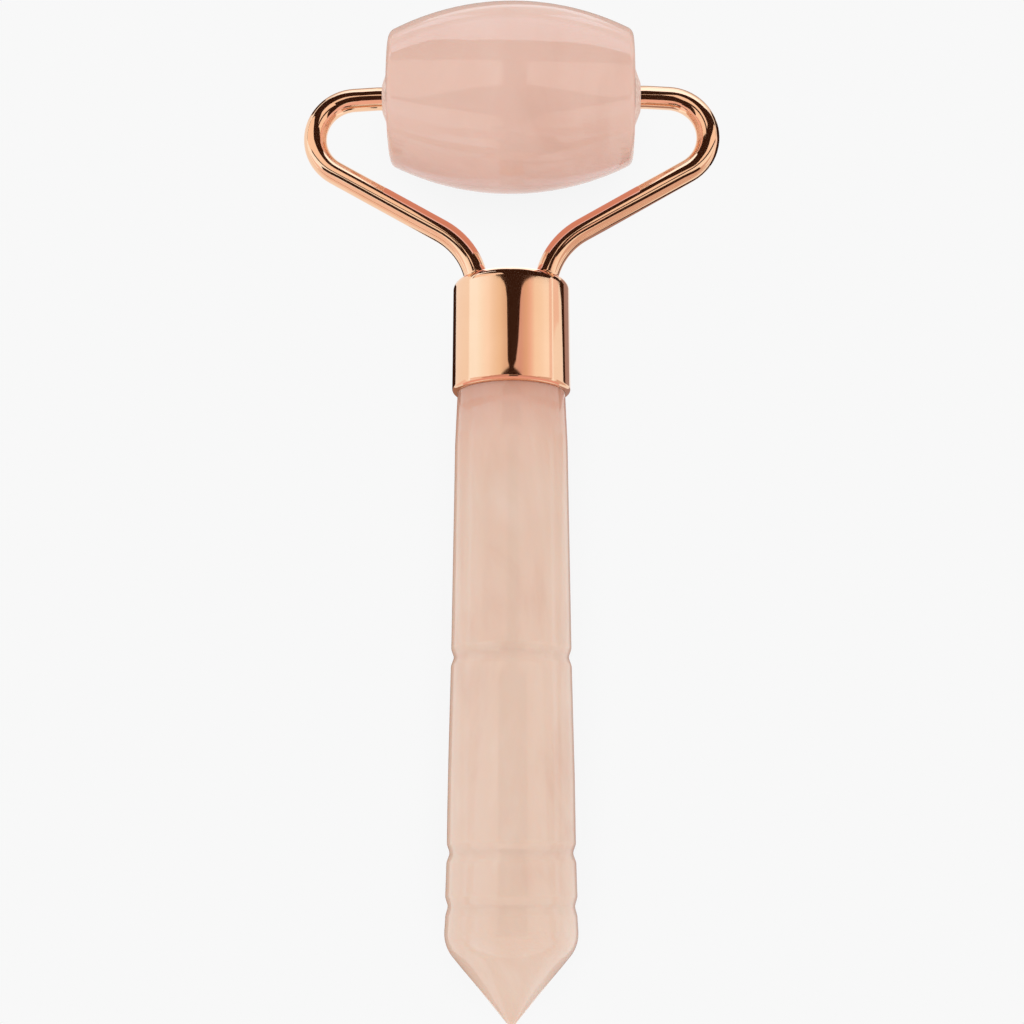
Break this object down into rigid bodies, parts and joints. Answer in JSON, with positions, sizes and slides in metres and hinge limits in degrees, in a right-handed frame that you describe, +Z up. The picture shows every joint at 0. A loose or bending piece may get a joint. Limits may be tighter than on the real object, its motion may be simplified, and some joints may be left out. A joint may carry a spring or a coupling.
{
  "type": "mini face roller",
  "caption": "Hand-held face roller: a crowned rose quartz barrel that spins in a bent-wire fork, with a metal ferrule and a grooved, pointed stone handle.",
  "frame": {"origin": "on the table under the middle of the tool's length and width, with the tool lying as it rests: on the barrel and on the widest ring of the handle", "axes": "+X along the roller barrel's axis, +Y from the handle's point towards the barrel, +Z up from the table"},
  "size_m": [0.0424, 0.102, 0.0194],
  "materials": {
    "rose_quartz_handle": "polished",
    "rose_quartz_roller": "polished",
    "rose_gold_plate": "polished",
    "frosted_bush": "satin",
    "clear_epoxy": "gloss"
  },
  "bodies": {
    "handle": {"handle_stone": "rose_quartz_handle", "ferrule_adhesive": "clear_epoxy", "ferrule": "rose_gold_plate", "left_fork_arm": "rose_gold_plate", "right_fork_arm": "rose_gold_plate", "left_braze_fillet": "rose_gold_plate", "right_braze_fillet": "rose_gold_plate"},
    "roller": {"roller_stone": "rose_quartz_roller", "left_end_bush": "frosted_bush", "right_end_bush": "frosted_bush"}
  },
  "joints": [
    {"name": "roller_spin", "type": "hinge", "parent": "handle", "child": "roller", "pos_m": [0, 0.04129, 0.00972], "axis": [1, 0, 0], "continuous": true}
  ]
}
